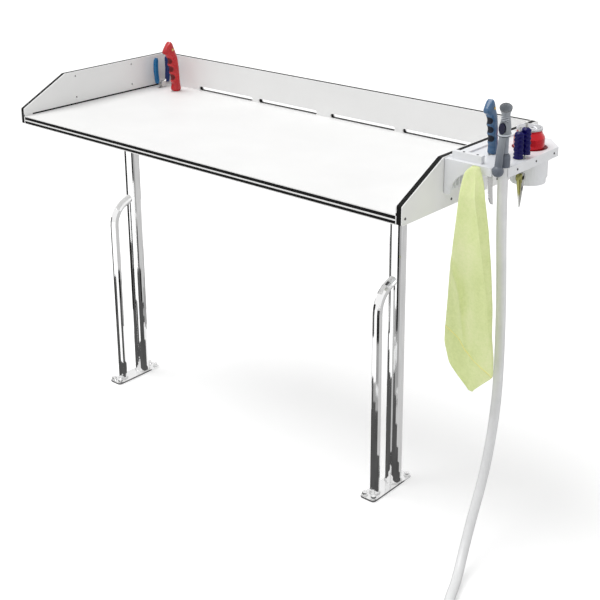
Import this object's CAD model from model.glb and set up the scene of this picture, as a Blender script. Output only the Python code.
# %% [markdown]
# # A dock cleaning station, seen as in the photograph
# The station is a fish-cleaning table of layered white board on two polished steel pedestals. A moulded
# caddy on its right wall holds a knife, pliers, a drink can, a towel and the wash-down nozzle.
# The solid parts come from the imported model, which is loaded first and never moved. This script adds
# the finishes, the hose, the towel, and the small pieces that only the eye needs.

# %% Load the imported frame
from math import asin, copysign, cos, exp, hypot, pi, radians, sin, sqrt, tau

import bmesh
import bpy
from mathutils import Matrix, Vector, noise


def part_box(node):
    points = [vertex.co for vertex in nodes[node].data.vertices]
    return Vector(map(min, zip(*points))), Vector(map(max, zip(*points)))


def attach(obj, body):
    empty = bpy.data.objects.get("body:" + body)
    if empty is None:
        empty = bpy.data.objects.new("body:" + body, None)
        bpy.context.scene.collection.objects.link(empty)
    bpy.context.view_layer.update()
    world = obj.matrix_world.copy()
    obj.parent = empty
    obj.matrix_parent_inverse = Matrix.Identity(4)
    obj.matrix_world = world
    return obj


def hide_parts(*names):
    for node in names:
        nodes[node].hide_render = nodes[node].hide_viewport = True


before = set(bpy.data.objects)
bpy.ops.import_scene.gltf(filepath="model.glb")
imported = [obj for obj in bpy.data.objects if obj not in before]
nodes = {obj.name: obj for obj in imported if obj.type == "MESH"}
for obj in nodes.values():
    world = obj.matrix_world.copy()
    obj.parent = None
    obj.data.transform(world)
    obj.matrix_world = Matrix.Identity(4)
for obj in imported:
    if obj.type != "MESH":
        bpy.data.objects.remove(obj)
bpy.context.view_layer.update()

# %% [markdown]
# ## Where things are
# The maker's drawing is read from the table: sideways from its middle, back from its front edge, and up
# from the walls' bottom edges. The work surface's own box gives those three origins, so that every
# later number can be written as it would be measured on the real table.

# %% Table measures
top_low, top_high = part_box("table_top")
MIDDLE_X = (top_low.x + top_high.x) / 2
FRONT_Y = top_low.y
BOTTOM_Z = top_low.z
WALL = 0.016
WALL_OUT = 0.6096
CADDY_TOP = 0.1074


def at_table(x, y, z):
    """World place of a point measured from the table's middle, front edge and walls' bottom."""
    return Vector((MIDDLE_X + x, FRONT_Y + y, BOTTOM_Z + z))


print("front left corner of the walls", at_table(-WALL_OUT, 0, 0))

# %% [markdown]
# ## The camera
# The photograph was taken from the front right, about 1.5 m above the dock, with a mild telephoto. The
# table's straight edges give that place by fitting. Lowering the lens a little against the film, as on a
# view camera, keeps the posts upright while the whole station stays in the frame.

# %% Camera
scene = bpy.context.scene


def placed(name, data):
    """A new object of this data, linked into the scene."""
    made = bpy.data.objects.new(name, data)
    scene.collection.objects.link(made)
    return made


camera = placed("station_camera", bpy.data.cameras.new("station_camera"))
swing, tilt, roll = (radians(angle) for angle in (41.0949, 90 - 17.77697, -0.34631))
turn = Matrix.Rotation(swing, 4, "Z") @ Matrix.Rotation(tilt, 4, "X") @ Matrix.Rotation(roll, 4, "Z")
camera.matrix_world = Matrix.Translation((1.79582, -1.99147, 1.5219)) @ turn
camera.data.sensor_width = 36
camera.data.lens = 70.1
camera.data.shift_y = -0.2
scene.camera = camera
print("lens", camera.data.lens, "mm from", [round(v, 2) for v in camera.location])

# %% [markdown]
# ## Light
# A white board only looks white when light comes from everywhere, so the room itself gives most of it.
# One broad sun from the upper left makes the top brighter than the walls and leaves the right-hand
# faces a little grey, as in the photograph. Rays that the eye, a mirror or glass sends out see a plain white
# room, and all others meet a dimmer one, which keeps the background white and the colours true.

# %% Room and sun
ROOM_LIGHT = 0.62
SUN_LIGHT = 1.58
scene.view_settings.view_transform = "Standard"
room = bpy.data.worlds.new("studio_room")
scene.world = room
room.use_nodes = True
room_nodes = room.node_tree.nodes


def seen_rays(tree):
    """One for the rays that the eye, a mirror or glass sends out, and nought for all others."""
    path = tree.nodes.new("ShaderNodeLightPath").outputs
    seen = path["Is Camera Ray"]
    for kind in ("Is Glossy Ray", "Is Transmission Ray"):
        larger = tree.nodes.new("ShaderNodeMath")
        larger.operation = "MAXIMUM"
        tree.links.new(seen, larger.inputs[0])
        tree.links.new(path[kind], larger.inputs[1])
        seen = larger.outputs[0]
    return seen


power = room_nodes.new("ShaderNodeMapRange")
power.inputs["To Min"].default_value = ROOM_LIGHT
power.inputs["To Max"].default_value = 1.0
room.node_tree.links.new(seen_rays(room.node_tree), power.inputs["Value"])
room.node_tree.links.new(power.outputs["Result"], room_nodes["Background"].inputs["Strength"])
room_nodes["Background"].inputs["Color"].default_value = (1, 1, 1, 1)

sun = placed("softbox", bpy.data.lights.new("softbox", "SUN"))
sun.data.energy = SUN_LIGHT
sun.data.angle = radians(40)
sun.rotation_euler = Vector((-0.34, -0.2, 0.92)).to_track_quat("Z", "Y").to_euler()
print("room", ROOM_LIGHT, "and sun", SUN_LIGHT)

# %% [markdown]
# ## Finishes as sums
# A finish is a network of nodes. Written out one by one such nodes hide their meaning, so a small class
# wraps a socket and lets Python's own signs add the Math nodes. Every other node comes from one
# method that takes its type, its settings and what goes into its sockets.

# %% Shader writing
class Flow:
    """A socket of a finish. Signs between flows and numbers add Math nodes."""

    def __init__(self, finish, socket):
        self.finish = finish
        self.socket = socket

    def math(self, operation, *values):
        return self.finish.node("ShaderNodeMath", {"operation": operation}, dict(enumerate(values)))

    def __add__(self, other):
        return self.math("ADD", self, other)

    __radd__ = __add__

    def __sub__(self, other):
        return self.math("SUBTRACT", self, other)

    def __rsub__(self, other):
        return self.math("SUBTRACT", other, self)

    def __mul__(self, other):
        return self.math("MULTIPLY", self, other)

    __rmul__ = __mul__

    def __truediv__(self, other):
        return self.math("DIVIDE", self, other)

    def __gt__(self, other):
        return self.math("GREATER_THAN", self, other)

    def __lt__(self, other):
        return self.math("LESS_THAN", self, other)

    def between(self, low, high):
        return (self > low) * (self < high)

    def waving(self):
        return self.math("ABSOLUTE", self.math("SINE", self))

    def soft(self, low, high):
        """Runs smoothly from nought to one as the flow goes from low to high."""
        values = {"Value": self, "From Min": low, "From Max": high}
        return self.finish.node("ShaderNodeMapRange", {"interpolation_type": "SMOOTHSTEP"}, values)

    def output(self, name):
        return Flow(self.finish, self.socket.node.outputs[name])


class Finish:
    """A material whose nodes are written as sums."""

    def __init__(self, name, **constants):
        self.material = bpy.data.materials.new(name)
        self.material.use_nodes = True
        self.tree = self.material.node_tree
        self.shader = self.tree.nodes["Principled BSDF"]
        self.place = self.node("ShaderNodeTexCoord").output("Object")
        for key, value in constants.items():
            self.shader.inputs[key.replace("_", " ")].default_value = value

    def node(self, kind, settings=None, inputs=None, out=0):
        made = self.tree.nodes.new(kind)
        for key, value in (settings or {}).items():
            if key == "stops":
                elements = made.color_ramp.elements
                for _ in value[len(elements):]:
                    elements.new(0.5)
                for stop, (spot, colour) in zip(elements, value):
                    stop.position = spot
                    stop.color = (*colour, 1.0)
            else:
                setattr(made, key, value)
        for key, value in (inputs or {}).items():
            if isinstance(value, Flow):
                self.tree.links.new(value.socket, made.inputs[key])
            else:
                made.inputs[key].default_value = value
        return Flow(self, made.outputs[out])

    def feed(self, **flows):
        for key, flow in flows.items():
            self.tree.links.new(flow.socket, self.shader.inputs[key.replace("_", " ")])
        return self

    def axis(self, name):
        """The place along one axis, in metres."""
        return self.node("ShaderNodeSeparateXYZ", None, {0: self.place}).output(name)

    def grain(self, scale, detail=3.0, rough=0.55, stretch=(1, 1, 1)):
        """Noise in metres: scale is how many lumps to the metre."""
        spot = self.place
        if stretch != (1, 1, 1):
            spot = self.node("ShaderNodeMapping", None, {"Vector": spot, "Scale": stretch})
        values = {"Vector": spot, "Scale": scale, "Detail": detail, "Roughness": rough}
        return self.node("ShaderNodeTexNoise", None, values).output("Fac")

    def ramp(self, flow, *stops):
        return self.node("ShaderNodeValToRGB", {"stops": stops}, {"Fac": flow}).output("Color")

    def mix(self, factor, first, second):
        """Colour first where the factor is nought and second where it is one."""
        first, second = ((*v, 1.0) if isinstance(v, tuple) else v for v in (first, second))
        return self.node("ShaderNodeMix", {"data_type": "RGBA"}, {0: factor, 6: first, 7: second}, out=2)

    def bump(self, height, depth, strength=1.0):
        """Relief whose full range of height stands for this depth in metres."""
        values = {"Height": height, "Distance": depth, "Strength": strength}
        return self.feed(Normal=self.node("ShaderNodeBump", None, values))


def shade(red, green, blue):
    """A colour as it is read off a screen, 0 to 255, in the linear numbers that shaders take."""
    return tuple((v / 255 / 12.92) if v < 11 else ((v / 255 + 0.055) / 1.055) ** 2.4 for v in (red, green, blue))


def wear(finish, *names):
    """Gives CAD nodes a finish."""
    for name in names:
        nodes[name].data.materials.clear()
        nodes[name].data.materials.append(finish.material)


print("shader classes ready")

# %% [markdown]
# ## Floor
# The floor is pale and takes a soft shadow. To the eye and to mirrors it has a little light of its own,
# enough to reach white where nothing shades it, so it runs into the white room without an edge.

# %% Floor
FLOOR_REACH = 60.0
FLOOR_GLOW = 0.36
floor_mesh = bpy.data.meshes.new("floor")
corners = [(x * FLOOR_REACH, y * FLOOR_REACH, -0.001) for x, y in ((-1, -1), (1, -1), (1, 1), (-1, 1))]
floor_mesh.from_pydata(corners, [], [(0, 1, 2, 3)])
placed("floor", floor_mesh)
paper = Finish("studio_floor", Base_Color=(0.8, 0.8, 0.8, 1), Roughness=0.9, Specular_IOR_Level=0.0,
               Emission_Strength=1.0)
paper.feed(Emission_Color=paper.mix(Flow(paper, seen_rays(paper.tree)), (0, 0, 0), (FLOOR_GLOW,) * 3))
floor_mesh.materials.append(paper.material)
print("floor", 2 * FLOOR_REACH, "m wide")

# %% [markdown]
# ## Layered board
# The walls and the work surface are cut from sheet whose core is black between white skins, the work
# surface from a thicker sheet with two cores. The lines show wherever the saw has cut across the sheet.
# Painting the stripes by distance through the board, and not on single faces, puts them on every cut
# edge, slot and hole at once. The skin has a fine orange-peel texture that spreads its highlights.

# %% Board
def board(name, axis, start, cores, groove=None):
    """Layered board: cores are the black layers' (low, high) along an axis from start, in metres."""
    finish = Finish(name, Roughness=0.5, Specular_IOR_Level=0.12)
    through = finish.axis(axis) - start
    black = sum(through.between(low, high) for low, high in cores)
    if groove:
        near, far, low, high = groove
        black = black + through.between(near, far) * finish.axis("Z").between(low, high)
    cloud = finish.grain(7.0, 2.0)
    skin = finish.ramp(cloud, (0.3, (0.875, 0.875, 0.87)), (0.7, (0.905, 0.905, 0.9)))
    saw = finish.grain(260, 2.0, 0.6)
    core = finish.ramp(saw, (0.3, (0.001, 0.001, 0.001)), (0.75, (0.005, 0.005, 0.005)))
    finish.feed(Base_Color=finish.mix(black, skin, core))
    peel = finish.grain(900, 2.0, 0.5)
    scuff = finish.grain(18, 4.0, 0.7, (1, 7, 1))
    finish.feed(Roughness=0.36 + scuff * 0.2 + black * 0.12)
    return finish.bump(peel, 0.0001, 0.6)


# The walls are one sheet. The right one's core is drawn wider because its cut edge looks darker.
cores_thin = ((0.0034, 0.0127),)
cores_wide = ((0.0024, 0.0138),)
groove_heights = (BOTTOM_Z + 0.01955, BOTTOM_Z + 0.02495)
wear(board("work_surface_board", "Z", BOTTOM_Z, ((0.0022, 0.0083), (0.0117, 0.0187))), "table_top")
wear(board("back_board", "Y", FRONT_Y + 0.492, cores_thin), "back_panel")
wear(board("left_board", "X", MIDDLE_X - WALL_OUT, cores_thin,
           (WALL - 0.003, WALL - 0.0004, *groove_heights)), "left_side_panel")
wear(board("right_board", "X", MIDDLE_X + WALL_OUT - WALL, cores_wide,
           (0.0004, 0.003, *groove_heights)), "right_side_panel")
print("black cores", cores_thin)

# %% [markdown]
# ## Shapes drawn as rings
# Handles, grips and the nozzle are round things that change along their length. Each is drawn as a run
# of rings with a skin between them, which gives even faces that shade smoothly. Turned shapes, bent
# rods and beads are rings too, so one skin serves them all.

# %% Skins, turned shapes and rods
UNIT = 0.001


def mm(*rows):
    """Rows of numbers written in millimetres, turned into metres."""
    return [tuple(value * UNIT for value in row) for row in rows]


def circle(sides):
    """Angles spread evenly round a circle."""
    return [tau * step / sides for step in range(sides)]


def squarish(angle, power):
    """A point on a rounded square whose half side is one."""
    return [copysign(abs(v) ** power, v) for v in (cos(angle), sin(angle))]


def clamped(value):
    return min(1.0, max(0.0, value))


def skin(shape, rings, loop=False):
    """Adds a skin through rings of points, closed at both ends or joined end to end."""
    made = [[shape.verts.new(spot) for spot in ring] for ring in rings]
    for upper, lower in zip(made, made[1:] + made[:1] if loop else made[1:]):
        for index in range(len(upper)):
            after = (index + 1) % len(upper)
            shape.faces.new((upper[index], upper[after], lower[after], lower[index]))
    if not loop:
        shape.faces.new(made[0][::-1])
        shape.faces.new(made[-1])


def turned(shape, profile, middle, axis=(0, 0, 1), sides=32):
    """Adds a form turned on a lathe: its profile is (radius, height) along the axis."""
    lean = Vector(axis).to_track_quat("Z", "Y").to_matrix()
    skin(shape, [[middle + lean @ Vector((radius * cos(a), radius * sin(a), height))
                  for a in circle(sides)] for radius, height in profile])


def rod(shape, path, side, radius_at, sides=20, loop=False):
    """Adds a rod along a path that lies square to side. radius_at takes the share along and the angle."""
    rings = []
    last = len(path) - 1
    for index, spot in enumerate(path):
        before = path[index - 1] if loop or index else path[0]
        after = path[(index + 1) % len(path)] if loop or index < last else path[last]
        along = (after - before).normalized()
        up = along.cross(side)
        rings.append([spot + (side * cos(angle) + up * sin(angle)) * radius_at(index / last, angle)
                      for angle in circle(sides)])
    skin(shape, rings, loop)


def as_mesh(name, shape, finish):
    bmesh.ops.recalc_face_normals(shape, faces=shape.faces)
    mesh = bpy.data.meshes.new(name)
    shape.to_mesh(mesh)
    shape.free()
    mesh.shade_smooth()
    mesh.set_sharp_from_angle(angle=radians(42))
    mesh.materials.append(finish.material)
    return mesh


def seat(name, shape, finish, body, slot, *stood_for):
    """Makes a piece of a drawn shape and seats it on its body, in place of the CAD nodes it stands for."""
    obj = placed(name, as_mesh(name, shape, finish))
    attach(obj, body)
    if stood_for:
        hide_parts(*stood_for)
    return obj


def read_off(table, value):
    """A value read off (place, size) pairs whose places rise."""
    for (low, first), (high, last) in zip(table, table[1:]):
        if value <= high:
            return first + (last - first) * clamped((value - low) / (high - low))
    return table[-1][1]


def smooth_path(route, steps):
    """Points read from a Catmull-Rom curve through the route's points."""
    run = []
    ends = [2 * route[0] - route[1], *route, 2 * route[-1] - route[-2]]
    for a, b, c, d in zip(ends, ends[1:], ends[2:], ends[3:]):
        for step in range(steps):
            t = step / steps
            run.append(0.5 * (2 * b + (c - a) * t + (2 * a - 5 * b + 4 * c - d) * t ** 2
                              + (3 * b - a - 3 * c + d) * t ** 3))
    run.append(route[-1].copy())
    return run


def ridge(value, middle, width):
    return exp(-((value - middle) / width) ** 2)


print("shape helpers ready")

# %% [markdown]
# ## Polished steel
# Pedestal tube is stainless steel polished along its length. A mirror shows its room, so most of this finish
# is what stands around it: the white floor, and the dark cards set up further down. The polish leaves very
# fine lines along the tube and a faint unevenness, which break the reflections slightly.

# %% Steel
def steel(name, tint, rough, spread, stretch):
    finish = Finish(name, Metallic=1.0)
    lines = finish.grain(900, 2.0, 0.6, stretch)
    cloud = finish.grain(14, 3.0)
    finish.feed(Base_Color=finish.ramp(cloud, (0.25, tuple(v * 0.93 for v in tint)), (0.75, tint)),
                Roughness=rough + lines * spread)
    return finish.bump(lines, 0.00002, 0.35)


tube_steel = steel("polished_tube_steel", (0.93, 0.93, 0.93), 0.03, 0.05, (1, 1, 0.02))
plate_steel = steel("rolled_plate_steel", (0.88, 0.88, 0.88), 0.12, 0.12, (0.05, 1, 1))
for side in ("left", "right"):
    wear(tube_steel, f"{side}_post", f"{side}_brace_tube")
    wear(plate_steel, f"{side}_base_plate", f"{side}_table_flange",
         *(f"{side}_deck_bolt_{number}" for number in range(1, 5)))
blade_steel = steel("blade_steel", (0.74, 0.74, 0.73), 0.16, 0.16, (1, 1, 0.05))
tool_steel = steel("forged_tool_steel", (0.66, 0.66, 0.65), 0.22, 0.2, (1, 1, 1))
wear(blade_steel, "red_knife_blade", "blue_knife_blade")
for name in ("corner_pliers", "caddy_pliers"):
    wear(tool_steel, f"{name}_front_half", f"{name}_rear_half", f"{name}_pivot")
brass = steel("turned_brass", (0.8, 0.58, 0.22), 0.16, 0.12, (1, 1, 1))
wear(brass, "red_knife_rivet", "blue_knife_rivet", "hose_connector")
print("steel and brass on", sum(n.data.materials[0] == tube_steel.material for n in nodes.values()), "tubes")

# %% [markdown]
# ## Moulded plastics
# The caddy is a white moulding, the tool handles are glossy moulded grips and the nozzle is a grey one.
# They share one recipe: a base colour that drifts a little, as it does with uneven wall thickness, a
# fine grain from the mould's etched face, and a roughness that rises where fingers and salt have dulled it.

# %% Plastics
def plastic(name, colour, drift, rough, grain, depth, coat=0.0, gloss=0.5):
    finish = Finish(name, Coat_Weight=coat, Coat_Roughness=0.08, Specular_IOR_Level=gloss)
    cloud = finish.grain(38, 3.0)
    dark = tuple(v * (1 - drift) for v in colour)
    light = tuple(min(1.0, v * (1 + drift)) for v in colour)
    haze = finish.grain(120, 4.0, 0.7)
    finish.feed(Base_Color=finish.ramp(cloud, (0.3, dark), (0.7, light)), Roughness=rough + haze * 0.16)
    return finish.bump(finish.grain(grain, 2.0, 0.5), depth, 0.7)


PLASTICS = {
    ("caddy_shelf", "caddy_cup"): ("white_moulding", (0.83, 0.84, 0.86), 0.02, 0.26, 1400, 0.00008),
    ("corner_pliers_front_grip",): ("light_blue_grip", shade(8, 100, 152), 0.08, 0.2, 500, 0.00008, 0.15, 0.3),
    ("corner_pliers_rear_grip",): ("dark_blue_grip", shade(6, 36, 98), 0.1, 0.2, 500, 0.00008, 0.1, 0.25),
    ("nozzle_inlet_pipe",): ("nozzle_pipe_grey", shade(140, 146, 156), 0.04, 0.3, 1100, 0.00007),
    ("nozzle_hose_nut",): ("nozzle_dark_grey", shade(96, 103, 116), 0.05, 0.32, 1100, 0.00007),
    ("nozzle_button",): ("navy_button", shade(4, 5, 46), 0.1, 0.16, 800, 0.00005, 0.0, 0.3),
}
for names, recipe in PLASTICS.items():
    wear(plastic(*recipe), *names)
print("plastics done")

# %% [markdown]
# ## Drink can
# The can's side is aluminium under a clear red lacquer, so its colour is a metal's. Rolling leaves
# upright brush lines in the lid and faint rings round the body.

# %% Can
lacquer = Finish("red_lacquer", Metallic=0.75, Coat_Weight=0.35, Coat_Roughness=0.06)
rings = lacquer.grain(1100, 2.0, 0.5, (0.04, 0.04, 1))
lacquer.feed(Base_Color=lacquer.ramp(rings, (0.3, shade(186, 4, 24)), (0.7, shade(202, 8, 32))),
             Roughness=0.2 + rings * 0.08)
lacquer.bump(rings, 0.000004, 0.2)
aluminium = steel("bare_aluminium", (0.6, 0.6, 0.62), 0.16, 0.16, (1, 0.05, 1))
wear(aluminium, "drink_can_tab")
CAN_FOOT = at_table(WALL_OUT + 0.0864, 0.3203, 0.0361)
CAN_SHOULDER = [(29.1 - 2.9 * cos(pi * step / 12), 105 - 13 * step / 12) for step in range(13)]
CAN_SIDE = mm((0.2, 107.5), (23.4, 107.5), (23.4, 108.5), (26.2, 108.5), (26.2, 106), *CAN_SHOULDER, (32, 10),
              (31.4, 7.5), (29.6, 5), (25, 0.8), (23.5, 0), (22, 1.2), (16, 6), (0.2, 9))
CAN_LID = mm((0.2, 108.7), (19, 108.7), (19.6, 108.1), (21.2, 107.9), (22, 108.7), (22.6, 113.2),
             (23.2, 113.9), (24.8, 114), (26.8, 113.8), (27.2, 113), (27.2, 109.6), (26.8, 108.9),
             (23.1, 108.8), (23.1, 107.8), (0.2, 107.8))
for name, profile, finish, slot, node in (
        ("drink_can_drawn_body", CAN_SIDE, lacquer, "red_lacquer", "drink_can_body"),
        ("drink_can_rolled_lid", CAN_LID, aluminium, "bare_aluminium", "drink_can_lid")):
    shape = bmesh.new()
    turned(shape, profile, CAN_FOOT, sides=72)
    seat(name, shape, finish, "can", slot, node)
print("can", CAN_LID[7][1], "m high")

# %% [markdown]
# ## Knife handles
# A filleting knife's handle is one moulding: a flared foot, three deep finger grooves with soft dark
# pads, and a hooked pommel cut off at a slant. Its outline is a table of how far front and back stand at
# each height, and every ring is a squarish oval between the two, pinched where a finger goes round it.

# %% Knife handles
HANDLE_FRONT = ((0, -10), (4, -13.5), (9, -13.8), (15, -11.5), (22, -11), (30, -14.5), (100, -27.5),
                (106, -32), (107.5, -37), (110.5, -41), (116.5, -41.5), (121, -38.5), (133.5, -28),
                (139.5, -22.5), (141, -18.6))
HANDLE_BACK = ((0, 12), (5, 15), (10, 14.5), (17, 12), (30, 11), (47, 10.5), (63, 9.6), (78, 8),
               (98, 4.6), (115, -2), (132, -10.5), (138.5, -14), (141, -17.4))
GROOVES_FROM = 30.0
GROOVES_TO = 100.0
GROOVE_LENGTH = (GROOVES_TO - GROOVES_FROM) / 3
GROOVE_DEPTH = 4.6
RIDGE_SLANT = (27.5 - 14.5) / (GROOVES_TO - GROOVES_FROM)
HANDLE_HALF = 11.0


def knife_finish(name, colour, pad, x, y, foot, size):
    """Glossy plastic whose finger pads are found by place: between the ridges and near the front."""
    finish = Finish(name, Coat_Roughness=0.07, Specular_IOR_Level=0.3)
    ahead = (finish.axis("Y") - (FRONT_Y + y)) / (size * UNIT)
    height = (finish.axis("Z") - (BOTTOM_Z + foot)) / (size * UNIT)
    across = (finish.axis("X") - (MIDDLE_X + x)) / (size * UNIT)
    sunk = ahead + 14.5 + (height - GROOVES_FROM) * RIDGE_SLANT + across * 0.42
    phase = ((height - GROOVES_FROM) * (pi / GROOVE_LENGTH)).waving()
    along = height.between(GROOVES_FROM, GROOVES_TO)
    inward = sunk.math("MAXIMUM", sunk, 0.0)
    pads = along * (inward * inward * 0.0048 + 1.0 - phase).soft(0.7, 0.56)
    cloud = finish.grain(38, 3.0)
    light = finish.ramp(cloud, (0.3, tuple(v * 0.88 for v in colour)), (0.7, tuple(v * 1.1 for v in colour)))
    finish.feed(Base_Color=finish.mix(pads, light, pad),
                Roughness=0.16 + finish.grain(120, 4.0, 0.7) * 0.14 + pads * 0.3,
                Coat_Weight=0.5 - pads * 0.45)
    return finish.bump(finish.grain(700, 2.0, 0.5), 0.00006, 0.6)


def knife_handle(name, x, y, foot, size, colour, pad, slot):
    shape = bmesh.new()
    rings = []
    levels = [0.0, 0.5, 1.2, 2.2, *range(3, 139), 139.4, 140.2, 140.7, 141.0]
    for level in levels:
        front, back = (sum(read_off(face, level + step) for step in (-1.4, 0, 1.4)) / 3
                       for face in (HANDLE_FRONT, HANDLE_BACK))
        groove = 0.0
        if GROOVES_FROM < level < GROOVES_TO:
            groove = abs(sin(pi * (level - GROOVES_FROM) / GROOVE_LENGTH)) ** 1.6
            front += GROOVE_DEPTH * groove * (1 - 0.42 * groove)
        foot_round = 0.8 + 0.2 * sqrt(min(1.0, level / 3.0))
        middle = (front + back) / 2
        deep = (back - front) / 2 * foot_round
        crown = sqrt(max(0.0, 1 - max(0.0, (level - 126) / 15.6) ** 2.4))
        half = HANDLE_HALF * foot_round * (0.35 + 0.65 * crown)
        ring = []
        for angle in circle(36):
            along, across = squarish(angle, 0.72)
            pinch = 1 - 0.2 * groove * max(0.0, -along)
            ring.append(at_table(x + across * half * pinch * size * UNIT,
                                 y + (middle + along * deep) * size * UNIT, foot + level * size * UNIT))
        rings.append(ring)
    skin(shape, rings)
    finish = knife_finish(f"{slot}_moulding", colour, pad, x, y, foot, size)
    return seat(f"{name}_moulded_handle", shape, finish, name, slot, f"{name}_handle")


TOP = 0.021
knife_handle("red_knife", -WALL_OUT + 0.1096, 0.445, TOP + 0.0003, 1.0, shade(190, 8, 20), shade(104, 4, 10),
             "red_handle")
knife_handle("blue_knife", WALL_OUT + 0.0564, 0.2285, CADDY_TOP + 0.0003, 0.82, shade(62, 100, 138),
             shade(6, 16, 34), "blue_handle")
print("two handles with three grooves each")

# %% [markdown]
# ## Dipped grips
# The caddy's pliers have thick navy grips with rows of knobs. Each is a rod round its tang whose
# radius swells in a woven pattern, so that the knobs of one row stand between those of the next.

# %% Pliers grips
GRIP_ROUTE = ((8.2, 40.3), (8.2, 52), (8.3, 70), (8.2, 84), (8.0, 97))
GRIP_WIDE = 0.0102
GRIP_DEEP = 0.0078
PLIERS_PLACE = (WALL_OUT + 0.1184, 0.238)
PLIERS_PIVOT = CADDY_TOP - 0.04
navy_rubber = plastic("navy_rubber", shade(10, 4, 84), 0.2, 0.16, 420.0, 0.0001, 0.0, 0.22)


def knobs(share, angle):
    """The grip's radius: an oval with a flared foot, a rounded top and staggered knobs."""
    oval = GRIP_WIDE * GRIP_DEEP / hypot(GRIP_DEEP * cos(angle), GRIP_WIDE * sin(angle))
    body = sqrt(clamped(min((1.0 - share) / 0.1, share / 0.012)))
    flare = 0.09 * ridge(share, 0.03, 0.05)
    rows = sin(share * 6.5 * tau + (pi if sin(3 * angle) > 0 else 0))
    lumps = 0.085 * rows * abs(sin(3 * angle)) * min(1.0, share * 8, (1 - share) * 6)
    return oval * (0.12 + 0.88 * body) * (1 + flare + lumps)


PLIERS_HALVES = ((-1, "front", "caddy_pliers"), (1, "rear", "caddy_pliers_rear"))
for way, label, rider in PLIERS_HALVES:
    lift = 0.0065 if way == 1 else 0.0
    route = [at_table(PLIERS_PLACE[0] + way * 0.0029, PLIERS_PLACE[1] + way * u * UNIT,
                      PLIERS_PIVOT + v * UNIT + lift) for u, v in GRIP_ROUTE]
    grip = bmesh.new()
    rod(grip, smooth_path(route, 22), Vector((1, 0, 0)), knobs, 32)
    seat(f"caddy_pliers_{label}_knobbed_grip", grip, navy_rubber, rider, "navy_grip",
         f"caddy_pliers_{label}_grip")
print("two knobbed grips")

# %% [markdown]
# ## Long-nosed jaws
# Below the shelf the same pliers end in two slim jaws that close to a point. Each half is a jaw, a round
# boss for the pivot and a tang that runs up into its grip. The flat face has two dark slots, and the
# edge that faces forward has yellowed, so both are painted by place.

# %% Pliers halves
nose_steel = steel("long_nose_steel", (0.62, 0.62, 0.6), 0.2, 0.2, (1, 1, 1))
pliers_middle = at_table(*PLIERS_PLACE, PLIERS_PIVOT)
across = nose_steel.axis("Y") - pliers_middle.y
above = nose_steel.axis("Z") - pliers_middle.z
slots = 0
for height, half in ((-0.024, 0.0052), (0.003, 0.006)):
    off_middle = (across - 0.0026) / 0.0017
    off_height = (above - height) / half
    slots = slots + (off_middle * off_middle + off_height * off_height).soft(1.3, 0.8)
yellowed = across.soft(-0.0026, -0.0038) * above.soft(-0.045, -0.03) * above.soft(0.012, 0.008)
paint = nose_steel.mix(yellowed, (0.58, 0.58, 0.56), (0.34, 0.33, 0.12))
nose_steel.feed(Base_Color=nose_steel.mix(slots, paint, (0.01, 0.01, 0.01)))
JAW_WIDE = ((-64, 0.7), (-60, 1.5), (-48, 3.4), (-30, 5.9), (-14, 8.9), (-4, 9.7), (4, 8.4), (8.4, 2.6))
JAW_THICK = ((-64, 0.7), (-60, 1.3), (-48, 2.3), (-30, 3.4), (-14, 4.2), (-4, 4.4), (4, 4.2), (8.4, 3.0))
JAW_GAP = 0.15
BOSS = mm((0.2, 0), (9.8, 0), (10.5, 0.6), (10.5, 5.2), (9.8, 6), (0.2, 6))
TANG = ((3, 8), (6, 25), (7.5, 38), (8.2, 52), (8.3, 70), (8.2, 88), (7.8, 106))
for way, label, rider in PLIERS_HALVES:
    half = bmesh.new()
    rings = []
    for level in range(-64, 9):
        wide, thick = read_off(JAW_WIDE, level) - JAW_GAP, read_off(JAW_THICK, level)
        ring = []
        for angle in circle(24):
            out, flat = squarish(angle, 0.55)
            reach = JAW_GAP + wide * (1 + out) / 2
            ring.append(pliers_middle + Vector((flat * thick, -way * reach, level)) * UNIT)
        rings.append(ring)
    skin(half, rings)
    turned(half, BOSS, pliers_middle, (way, 0, 0))
    lift = 6.5 if way == 1 else 0.0
    tang = [pliers_middle + Vector((way * 2.9, way * u, v + lift * min(1.0, v / 45))) * UNIT for u, v in TANG]
    rod(half, smooth_path(tang, 4), Vector((1, 0, 0)), lambda share, angle: 0.0027, 16)
    seat(f"caddy_pliers_{label}_long_nose", half, nose_steel, rider, "tool_steel",
         f"caddy_pliers_{label}_half")
print("two halves with long noses")

# %% [markdown]
# ## The nozzle's shell
# The wash-down nozzle is a grey moulding: a trumpet-shaped head that leans forward, a waist with raised
# arcs, an oval seat for the button, a collar, and a front handle that ends in a ball. The shells are
# drawn one into another and then made one, and the button's pocket and the inlet's bore are cut out of them.

# %% Nozzle shell
NOZZLE = (WALL_OUT + 0.1214, 0.1655)
NOZZLE_TURN = radians(4.0)
BUTTON_HEIGHT = 79.5
nozzle_foot = at_table(*NOZZLE, CADDY_TOP)
ahead = Vector((sin(NOZZLE_TURN), -cos(NOZZLE_TURN), 0))
aside = Vector((-ahead.y, ahead.x, 0))
upright = Vector((0, 0, 1))


def at_nozzle(out, up, side=0.0):
    """A place, in millimetres ahead of the nozzle's middle line, above the shelf and to the side."""
    return nozzle_foot + (ahead * out + aside * side + upright * up) * UNIT


def oval(half_width, half_height, out):
    """A ring of points round the button, standing this far ahead."""
    return [at_nozzle(out, BUTTON_HEIGHT + half_height * sin(a), half_width * cos(a))
            for a in circle(40)]


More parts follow.
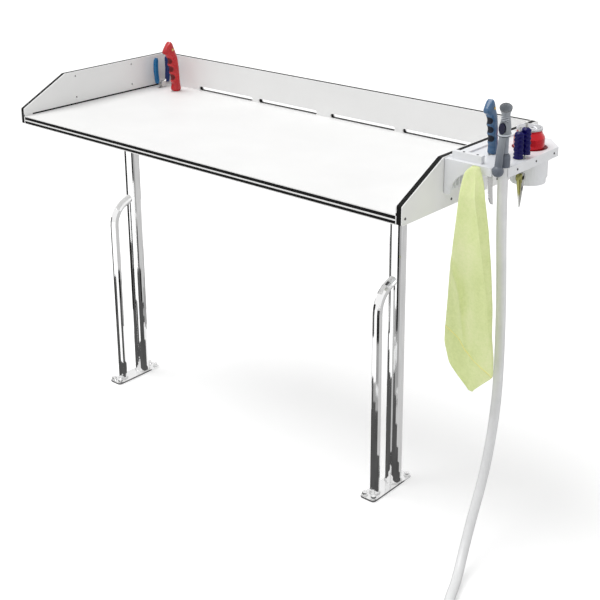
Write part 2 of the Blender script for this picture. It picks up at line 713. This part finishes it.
shell = bmesh.new()
turned(shell, mm((0.2, 62.8), (9.8, 62.8), (10.6, 65), (11.7, 66.2), (12.1, 68), (11.7, 69.8), (10.8, 71.2),
                 (11.1, 79), (10.8, 84), (9.9, 91.5), (9, 98), (8.4, 104), (8.3, 108.5), (0.2, 111)),
       nozzle_foot)
facing = Vector((sin(radians(28)), -cos(radians(28)), 0))
lean = facing * sin(radians(34)) + upright * cos(radians(34))
head_foot = at_nozzle(0.5, 103.5)
turned(shell, mm((0.2, -8), (6.6, -6), (8, 0), (8.7, 5.2), (9.8, 10.4), (11, 15), (12, 19), (12.4, 21.2),
                 (12.2, 22.1), (11.7, 22.3), (10.9, 21.6), (9.2, 18), (6, 12), (3.2, 9), (0.2, 8.4)),
       head_foot, lean)
handle_route = [at_nozzle(*spot) for spot in ((3, 80), (10.5, 62), (16, 42), (20, 22), (24, -3.6))]
rod(shell, smooth_path(handle_route, 8), aside, lambda share, angle: 0.0066 + 0.0013 * share)
ball_steps = [pi * step / 20 for step in range(21)]
turned(shell, mm(*((max(0.2, 11.8 * sin(a)), -11.8 * cos(a)) for a in ball_steps)), handle_route[-1])
skin(shell, [oval(*ring) for ring in ((6, 12, 4), (9.2, 14.8, 4), (9.3, 15, 9.8), (8.8, 14.5, 11),
                                      (7.8, 13.4, 11.4), (6.6, 12, 10.8))])
grey_shell = Finish("nozzle_shell_grey", Coat_Weight=0.1, Coat_Roughness=0.15)
from_foot = grey_shell.axis("Z") - nozzle_foot.z + grey_shell.grain(60, 3.0) * 0.012
grey_shell.feed(Base_Color=grey_shell.mix(from_foot.soft(0.0, 0.085), shade(94, 101, 113), shade(142, 147, 153)),
                Roughness=0.28 + grey_shell.grain(130, 4.0, 0.7) * 0.18)
grey_shell.bump(grey_shell.grain(1100, 2.0, 0.5), 0.00007, 0.7)

hollow = bmesh.new()
turned(hollow, mm((8.1, -20), (8.1, 63)), nozzle_foot)
turned(hollow, mm((13.2, -30), (13.2, 28.2)), nozzle_foot)
skin(hollow, [oval(6.6, 11.1, 1.8), oval(6.6, 11.1, 30)])


def carved(shape, cutter_shape, finish):
    """A mesh of the shape, its shells made one and the cutter taken out of it."""
    block = placed("block", as_mesh("block", shape, finish))
    cutter = placed("cutter", as_mesh("cutter", cutter_shape, finish))
    bite = block.modifiers.new("bite", "BOOLEAN")
    bite.object, bite.solver, bite.use_self = cutter, "EXACT", True
    bpy.context.view_layer.update()
    carved_block = block.evaluated_get(bpy.context.evaluated_depsgraph_get())
    result = bmesh.new()
    result.from_mesh(bpy.data.meshes.new_from_object(carved_block))
    for obj in (block, cutter):
        bpy.data.objects.remove(obj, do_unlink=True)
    return result


seat("nozzle_shell", carved(shell, hollow, grey_shell), grey_shell, "table", "grey_plastic", "nozzle_body")
print("nozzle shell with its pocket and bore")

# %% Nozzle trim
arcs = bmesh.new()
dark_arcs = bmesh.new()
for number in range(3):
    radius = 16 + 3 * number
    arc = []
    for step in range(-8, 9):
        angle = radians(30 - 3 * number) * step / 8
        side, up = radius * sin(angle), BUTTON_HEIGHT + radius * cos(angle)
        body_radius = 10.8 - 0.14 * (up - 84)
        arc.append(at_nozzle(sqrt(max(0.0, body_radius ** 2 - side ** 2)) + 0.2, up, side))
    rod(arcs, arc, ahead, lambda share, angle: 0.0009, 10)
    low_arc = [spot - upright * 0.0016 - ahead * 0.0003 for spot in arc]
    rod(dark_arcs, low_arc, ahead, lambda share, angle: 0.0008, 10)
light_trim = plastic("nozzle_light_trim", shade(206, 211, 218), 0.04, 0.25, 1100.0, 0.00006)
shadow_grey = plastic("nozzle_shadow_grey", shade(40, 44, 54), 0.05, 0.4, 1100.0, 0.00006, 0.0, 0.2)
seat("nozzle_raised_arcs", arcs, light_trim, "table", "grey_plastic")
seat("nozzle_sunk_arcs", dark_arcs, shadow_grey, "table", "dark_grey_plastic")


def collar_ring(up, wide):
    """A level oval round the body and the root of the handle."""
    return [at_nozzle(3.2 + (wide + 2.2) * cos(a), up, wide * sin(a)) for a in circle(40)]


for name, rows, finish, slot in (
        ("nozzle_collar", ((64.8, 9), (64.8, 12.1), (65.5, 12.7), (66.8, 12.8), (67.6, 12.2), (67.7, 9)),
         light_trim, "grey_plastic"),
        ("nozzle_collar_gasket", ((63.2, 9), (63.2, 11.8), (64.8, 12), (64.8, 9)), shadow_grey,
         "dark_grey_plastic")):
    band = bmesh.new()
    skin(band, [collar_ring(*row) for row in rows])
    seat(name, band, finish, "table", slot)
rim = bmesh.new()
to_lean = lean.to_track_quat("Z", "Y").to_matrix()
rim_path = [head_foot + to_lean @ Vector((11.9 * cos(a), 11.9 * sin(a), 22)) * UNIT
            for a in circle(48)]
rod(rim, rim_path, lean, lambda share, angle: 0.0007, 10, True)
seat("nozzle_head_rim", rim, plastic("nozzle_rim_grey", shade(84, 84, 86), 0.05, 0.35, 1100.0, 0.00006),
     "table", "dark_grey_plastic")
print("arcs, collar, gasket and rim")

# %% [markdown]
# ## Screws, beads and bolts
# The boards are screwed together through the side walls, and the caddy's rim and bar carry small dark
# screws. A weld bead runs round the foot of every tube. They are too small to change how the station
# works, but a bare hole or a tube that meets its plate without a bead looks like a toy.

# %% Screws
screw_steel = steel("dark_screw_steel", (0.1, 0.1, 0.105), 0.25, 0.25, (1, 1, 1))
bright_screw = steel("bright_screw_steel", (0.62, 0.62, 0.62), 0.2, 0.2, (1, 1, 1))


def screw(shape, middle, axis, radius):
    """Adds a low screw head with a recess, standing on the surface at middle."""
    turned(shape, ((0.0001, -0.0008), (radius, -0.0008), (radius, radius * 0.15), (radius * 0.82, radius * 0.36),
                   (radius * 0.46, radius * 0.42), (radius * 0.4, -0.0004), (0.0001, -0.0004)), middle, axis, 18)


CADDY_OUT = WALL_OUT + 0.1349
caddy_screws = bmesh.new()
for depth in (0.196, 0.268, 0.34):
    screw(caddy_screws, at_table(CADDY_OUT, depth, CADDY_TOP - 0.01), (1, 0, 0), 0.0024)
for place in (WALL_OUT + 0.0358, WALL_OUT + 0.0678):
    screw(caddy_screws, at_table(place, 0.155, CADDY_TOP + 0.016), (0, 0, 1), 0.0024)
seat("caddy_screws", caddy_screws, screw_steel, "table", "tool_steel")

wall_screws = bmesh.new()
for way in (-1, 1):
    for depth in (0.0104, 0.17, 0.345, 0.4976):
        screw(wall_screws, at_table(way * (WALL_OUT + 0.0001), depth, 0.0135), (way, 0, 0), 0.0028)
seat("wall_screws", wall_screws, screw_steel, "table", "tool_steel")
print("13 screws")

# %% Weld beads
POST_PLACE = WALL_OUT - 0.1686
PLATE_TOP = 0.0045
beads = bmesh.new()
for way in (-1, 1):
    for depth, radius in ((0.2213, 0.019), (0.15, 0.0111)):
        foot = at_table(way * POST_PLACE, depth, 0)
        foot.z = PLATE_TOP
        count = round(radius * 4200)
        ring = [foot + Vector((cos(a), sin(a), 0)) * (radius + 0.0006) for a in circle(count)]
        rod(beads, ring, upright, lambda share, angle, n=count: 0.0017 + 0.0003 * sin(share * n * tau / 3.3),
            10, loop=True)
seat("weld_beads", beads, bright_screw, "table", "polished_steel")
print("four weld beads")

# %% [markdown]
# ## The hose
# A wash-down hose keeps a little of the curve of its coil. It leaves the nozzle straight down, swings
# slightly back, then forward to the dock. Beyond the picture's edge its spare length lies wound in a flat
# coil, and the brass coupling ends it. One spline through the whole length keeps it one unbroken tube.

# %% Hose route
HOSE_DIAMETER = 0.021
HOSE_REST = 0.0109
HOSE_ROUTE = (
    (0.0, 0.0, 0.79), (0.0, -0.004, 0.71), (0.0, -0.0105, 0.632), (0.0, -0.016, 0.56),
    (0.0, -0.019, 0.49), (0.0, -0.0203, 0.42), (0.0, -0.0185, 0.355), (0.0, -0.0125, 0.3),
    (0.0005, -0.002, 0.25), (0.0015, 0.013, 0.2), (0.003, 0.0345, 0.15), (0.006, 0.062, 0.105),
    (0.0125, 0.093, 0.066), (0.0215, 0.123, 0.038), (0.032, 0.152, 0.0205), (0.043, 0.18, 0.0125),
    (0.053, 0.207, 0.011), (0.065, 0.235, 0.0109),
)
COIL_ENTRY = (0.175, 0.4346)
COIL_ENTRY_ANGLE = radians(28.7)
COIL_RADIUS = 0.1406
COIL_TURNS = 4 + (radians(90) + COIL_ENTRY_ANGLE) / tau
COIL_STEP = 0.0222
COIL_RISE = 0.0219
TAIL_LENGTH = 0.2
TAIL_LEVEL = 0.03
CONNECTOR_RADIUS = 0.0135

hose_exit = at_table(*NOZZLE, CADDY_TOP)
fall = [hose_exit]
for sideways, forward, height in HOSE_ROUTE:
    spot = at_table(NOZZLE[0] + sideways, NOZZLE[1] - forward, 0)
    spot.z = height
    fall.append(spot)
entry = at_table(NOZZLE[0] + COIL_ENTRY[0], NOZZLE[1] - COIL_ENTRY[1], 0)
entry.z = HOSE_REST
outward = Vector((cos(COIL_ENTRY_ANGLE), sin(COIL_ENTRY_ANGLE), 0))
heading = Vector((outward.y, -outward.x, 0))
for back in (0.18, 0.12, 0.06, HOSE_DIAMETER):
    fall.append(entry - heading * back)
hose_path = smooth_path(fall, 4)

coil_centre = entry - outward * COIL_RADIUS
coil_steps = round(COIL_TURNS * 48)
for step in range(coil_steps + 1):
    turn = COIL_TURNS * step / coil_steps
    drawn = COIL_RADIUS - COIL_STEP * min(turn, COIL_TURNS - turn)
    climb = clamped(2 * (turn - COIL_TURNS / 2) + 0.5)
    angle = COIL_ENTRY_ANGLE - tau * turn
    hose_path.append(Vector((coil_centre.x + drawn * cos(angle), coil_centre.y + drawn * sin(angle),
                             HOSE_REST + COIL_RISE * climb)))
leave = hose_path[-1]
for step in range(1, 11):
    share = step / 10
    drop = share * share * (3 - 2 * share)
    along = TAIL_LEVEL + (TAIL_LENGTH - HOSE_DIAMETER - TAIL_LEVEL) * share
    hose_path.append(leave + Vector((-along, 0, (CONNECTOR_RADIUS + 0.0003 - leave.z) * drop)))
hose_path.append(hose_path[-1] - Vector((HOSE_DIAMETER, 0, 0)))
hose_length = sum((b - a).length for a, b in zip(hose_path, hose_path[1:]))
print("hose", round(hose_length, 3), "m in", len(hose_path), "points")

# %% Hose
hose_curve = bpy.data.curves.new("wash_down_hose", "CURVE")
hose_curve.dimensions = "3D"
hose_curve.bevel_depth = HOSE_DIAMETER / 2
hose_curve.bevel_resolution = 6
hose_curve.use_fill_caps = True
hose_curve.twist_mode = "MINIMUM"
spline = hose_curve.splines.new("POLY")
spline.points.add(len(hose_path) - 1)
for point, spot in zip(spline.points, hose_path):
    point.co = (*spot, 1.0)
hose = placed("wash_down_hose", hose_curve)
vinyl = Finish("white_hose", Coat_Weight=0.25, Coat_Roughness=0.2)
dust = vinyl.grain(30, 4.0, 0.6)
vinyl.feed(Base_Color=vinyl.ramp(dust, (0.3, (0.77, 0.775, 0.78)), (0.7, (0.84, 0.845, 0.85))),
           Roughness=0.3 + vinyl.grain(200, 3.0) * 0.2)
vinyl.bump(vinyl.grain(420, 2.0), 0.0001, 0.5)
hose_curve.materials.append(vinyl.material)
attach(hose, "table")
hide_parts("hose", "hose_coil")
print("hose rides on the table")

# %% [markdown]
# ## The towel
# A square microfibre cloth is pinched at one corner and hangs from the caddy's front edge, so its far
# corner hangs lowest and its two free edges slant down to it. It could be draped by simulation, but the
# photograph shows each fold, so the folds are drawn: rows of points round the hanging cloth follow its
# outline, and ridges and hollows are pressed in where the photograph has them. Solidify gives it its
# thickness.

# %% Towel outline
TOWEL_DEPTH = 0.122
TOWEL_TOP = -0.0006
TOWEL_SIDES = mm(
    (-0.6, 75.5, 88), (4, 66.8, 91.5), (12, 57.2, 95), (28.4, 53, 102.4), (56, 50.4, 109.4),
    (118.4, 44.7, 120.8), (199.4, 36.1, 131), (281.4, 31.4, 138.4), (345, 27.9, 140.4), (388.4, 27.4, 146.1),
    (431.4, 40.4, 147.4), (456.4, 64.4, 121.4), (479.4, 91.4, 98.4))
TOWEL_HEM = mm((22.9, 349), (36.4, 354), (67.9, 370), (90.4, 405), (131.9, 425), (150.4, 433))
PLEAT = ((0.0, 0.7), (0.06, 0.73), (0.136, 0.81), (0.23, 0.9), (0.33, 0.97), (0.48, 0.99))
VALLEY = ((0.0, -0.3), (0.15, -0.18), (0.206, 0.04), (0.235, 0.18), (0.265, 0.29), (0.33, 0.38), (0.48, 0.55))
lefts = [(drop, left) for drop, left, right in TOWEL_SIDES]
rights = [(drop, right) for drop, left, right in TOWEL_SIDES]
tip = TOWEL_SIDES[-1][0]


def eased(table, value, reach):
    return sum(read_off(table, value + step * reach) for step in (-1, -0.5, 0, 0.5, 1)) / 5


def fold_out(part, drop):
    """How far the front layer stands out at a share across and a drop: a pleat, a slanting valley, waves."""
    grown = clamped(drop / 0.05)
    pleat = eased(PLEAT, drop, 0.02)
    out = 0.005 * grown * exp(-abs(part - pleat) / 0.06)
    out -= 0.006 * grown * max(0.0, part - pleat) / max(0.05, 1 - pleat) * (1 - min(1.0, drop / 0.36))
    valley = eased(VALLEY, drop, 0.015)
    shown = clamped((drop - 0.17) / 0.06) * clamped((0.46 - drop) / 0.08)
    lip = part - valley
    if lip < 0:
        out += 0.004 * shown * exp(lip / 0.09)
    else:
        hollow_out = exp(-lip / 0.17) - exp(-lip / 0.035)
        out += shown * (0.004 * exp(-lip / 0.025) - 0.015 * hollow_out)
    out += 0.0014 * grown * sin(9.5 * part + 6.0 * drop) * (1 - part)
    return out


print("towel", round(tip * 1000), "mm long")

# %% Towel
columns = 64
rows = 140
cloth = bmesh.new()


def cloth_point(front, part, drop, hem):
    """A point of the front or the back layer, the front one closing on the back towards its hem."""
    left = eased(lefts, drop, 0.006)
    right = eased(rights, drop, 0.006)
    x = left + (right - left) * part
    full = clamped(drop / 0.06)
    round_off = sqrt(max(0.0, 1 - (2 * part - 1) ** 4))
    shut = clamped((hem - drop) / 0.11)
    shut = shut * shut * (3 - 2 * shut)
    swell = (0.005 + 0.003 * full) * (0.42 + 0.58 * shut)
    ripple = 0.0011 * noise.noise(Vector((x * 30, 3.1, drop * 9)))
    ripple += 0.0004 * noise.noise(Vector((x * 90, 7.7, drop * 60)))
    depth = TOWEL_DEPTH + (1 - full) * 0.0095
    if front:
        y = depth + round_off * (ripple - swell - fold_out(part, drop) * (0.35 + 0.65 * shut))
    else:
        curl = 0.0022 * ridge(drop, 0.43, 0.03) * sin(7 * part)
        y = depth + round_off * (0.35 * swell + ripple + curl)
    return at_table(WALL_OUT + x, y, CADDY_TOP - drop)


HEM_LEFT, HEM_RIGHT = 0.0274, 0.1461
hem_drops = [eased(TOWEL_HEM, HEM_LEFT + (HEM_RIGHT - HEM_LEFT) * column / columns, 0.008)
             for column in range(columns + 1)]
layers = []
for front in (True, False):
    grid = []
    for row in range(rows + 1):
        level = TOWEL_TOP + (tip - TOWEL_TOP) * row / rows
        line = []
        for column, hem in enumerate(hem_drops):
            drop = min(level, hem) if front else level
            line.append(cloth.verts.new(cloth_point(front, column / columns, drop, hem)))
        grid.append(line)
    for upper, lower in zip(grid, grid[1:]):
        for a, b, c, d in zip(upper, upper[1:], lower[1:], lower):
            if (a.co - d.co).length > 1e-6 or (b.co - c.co).length > 1e-6:
                cloth.faces.new((a, b, c, d))
    layers.append(grid)
hem_line = [vert.co.copy() for vert in layers[0][-1]]
bmesh.ops.remove_doubles(cloth, verts=cloth.verts, dist=0.00002)
bmesh.ops.delete(cloth, geom=[vert for vert in cloth.verts if not vert.link_faces], context="VERTS")
bmesh.ops.recalc_face_normals(cloth, faces=cloth.faces)
towel_mesh = bpy.data.meshes.new("hand_towel")
cloth.to_mesh(towel_mesh)
cloth.free()
towel_mesh.shade_smooth()
towel = placed("hand_towel", towel_mesh)
thick = towel.modifiers.new("cloth_thickness", "SOLIDIFY")
thick.thickness = 0.0013
thick.offset = -1
towel_area = sum(face.area for face in towel_mesh.polygons)

terry = Finish("yellow_cloth", Roughness=0.95, Sheen_Weight=0.3, Sheen_Roughness=0.5)
loops = terry.node("ShaderNodeTexVoronoi", None, {"Vector": terry.place, "Scale": 620.0}).output("Distance")
fuzz = terry.grain(150, 5.0, 0.75)
tone = terry.grain(14, 4.0, 0.6, (1, 1, 0.5)) * 0.6 + fuzz * 0.4
terry.feed(Base_Color=terry.ramp(tone, (0.34, shade(214, 227, 152)), (0.5, shade(229, 240, 172)),
                                 (0.66, shade(242, 247, 192))))
terry.bump(fuzz * 0.6 + loops * 0.4, 0.0008, 0.55)
towel_mesh.materials.append(terry.material)
# Mirrors don't show the towel, because it would draw a green line down the whole right post.
towel.visible_glossy = False
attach(towel, "table")
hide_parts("towel")

seam_thread = Finish("seam_thread", Roughness=0.7)
stitch = seam_thread.grain(700, 2.0, 0.5)
seam_thread.feed(Base_Color=seam_thread.ramp(stitch, (0.35, shade(236, 236, 142)), (0.65, shade(248, 246, 172))))
seam_thread.bump(stitch, 0.0003, 0.8)
hem = bmesh.new()
rod(hem, hem_line, Vector((0, 1, 0)), lambda share, angle: 0.0013 + 0.0002 * sin(share * 420), 10)
hem_piece = seat("hand_towel_hem", hem, seam_thread, "table", "yellow_cloth")
print("towel", round(towel_area, 4), "square metres of cloth")

# %% [markdown]
# ## Cards for the mirrors
# Polished tubes in a white room look like white paper. Dark and grey cards lie on the floor round them,
# so that the tubes carry stripes. The camera looks down, so a tube mirrors floor: the higher the spot on
# the tube, the farther off the floor that it shows. Each card is therefore drawn as the stripe that it
# should make, in shares of the tube's width at a few heights, and thrown back onto the floor. Only mirrors
# see the cards, neither the eye nor the soft light, so from other sides the stripes fall elsewhere.

# %% Floor cards
def card_paint(name, low, high):
    paint = Finish(name, Base_Color=(0, 0, 0, 1), Roughness=1.0, Specular_IOR_Level=0.0, Emission_Strength=1.0)
    streak = paint.grain(5.0, 3.0, 0.6)
    return paint.feed(Emission_Color=paint.ramp(streak, (0.3, (low,) * 3), (0.7, (high,) * 3)))


def mirrored(foot, across, height):
    """The floor point seen in an upright tube, across from -1 at its left edge to 1 at its right."""
    back = (camera.location - foot).xy
    reach = height * back.length / (camera.location.z - height)
    back.normalize()
    right = Vector((-back.y, back.x))
    swing = 2 * asin(across)
    return foot.xy + (back * cos(swing) + right * sin(swing)) * reach


def floor_card(name, foot, paint, level, rows):
    """A card that shows as a stripe: rows of height on the tube, its left and its right side."""
    grid = []
    for upper, lower in zip(rows, rows[1:]):
        for step in range(6):
            height, left, right = (a + (b - a) * step / 6 for a, b in zip(upper, lower))
            grid.append([mirrored(foot, left + (right - left) * column / 14, height) for column in range(15)])
    shape = bmesh.new()
    made = [[shape.verts.new((spot.x, spot.y, level)) for spot in line] for line in grid]
    for upper, lower in zip(made, made[1:]):
        for a, b, c, d in zip(upper, upper[1:], lower[1:], lower):
            shape.faces.new((a, b, c, d))
    card = placed(name, as_mesh(name, shape, paint))
    card.visible_camera = card.visible_diffuse = card.visible_shadow = False
    card.visible_transmission = card.visible_volume_scatter = False


black = card_paint("black_card", 0.006, 0.016)
dark = card_paint("dark_card", 0.07, 0.11)
middling = card_paint("grey_card", 0.32, 0.44)
pale = card_paint("pale_card", 0.56, 0.66)
FAR = 1.15
NEAR = 0.0006
left_foot, right_foot = (Vector((*at_table(way * POST_PLACE, 0.2213, 0).xy, 0)) for way in (-1, 1))
CARDS = (
    ("right_pale", right_foot, pale, 0.0002, ((FAR, 0.16, 0.99), (NEAR, 0.16, 0.99))),
    ("right_edge", right_foot, black, 0.0008, ((FAR, -0.997, -0.905), (0.62, -0.997, -0.905))),
    ("right_rim", right_foot, middling, 0.0007, ((0.62, -0.997, -0.955), (0.2, -0.997, -0.955))),
    ("right_foot", right_foot, black, 0.0008, ((0.2, -0.997, -0.905), (NEAR, -0.997, -0.905))),
    ("right_line", right_foot, black, 0.001, ((FAR, -0.12, 0.15), (0.25, -0.08, 0.12))),
    ("right_ground", right_foot, dark, 0.0006, (
        (0.3, -0.98, -0.7), (0.27, -0.98, -0.3), (0.24, -0.97, 0.12), (0.18, -0.96, 0.22),
        (0.1, -0.95, 0.45), (0.03, -0.95, 0.72), (NEAR, -0.95, 0.75))),
    ("left_grey", left_foot, middling, 0.0003, ((FAR, 0.02, 0.28), (0.1, 0.02, 0.28))),
    ("left_pale", left_foot, pale, 0.0002, ((FAR, 0.28, 0.97), (NEAR, 0.28, 0.97))),
    ("left_edge", left_foot, black, 0.0008, ((FAR, -0.995, -0.78), (NEAR, -0.995, -0.78))),
    ("left_ground", left_foot, dark, 0.0006, (
        (0.42, -0.98, -0.74), (0.285, -0.98, -0.46), (0.216, -0.97, -0.34), (0.1, -0.97, -0.22),
        (NEAR, -0.97, -0.1))),
    ("left_centre", left_foot, dark, 0.0005, (
        (0.45, 0.1, 0.16), (0.285, 0.08, 0.36), (0.2, -0.02, 0.46), (0.1, -0.18, 0.56),
        (0.03, -0.2, 0.62), (NEAR, -0.2, 0.62))),
)
for label, *drawing in CARDS:
    floor_card(f"{label}_card", *drawing)
print(len(CARDS), "floor cards")
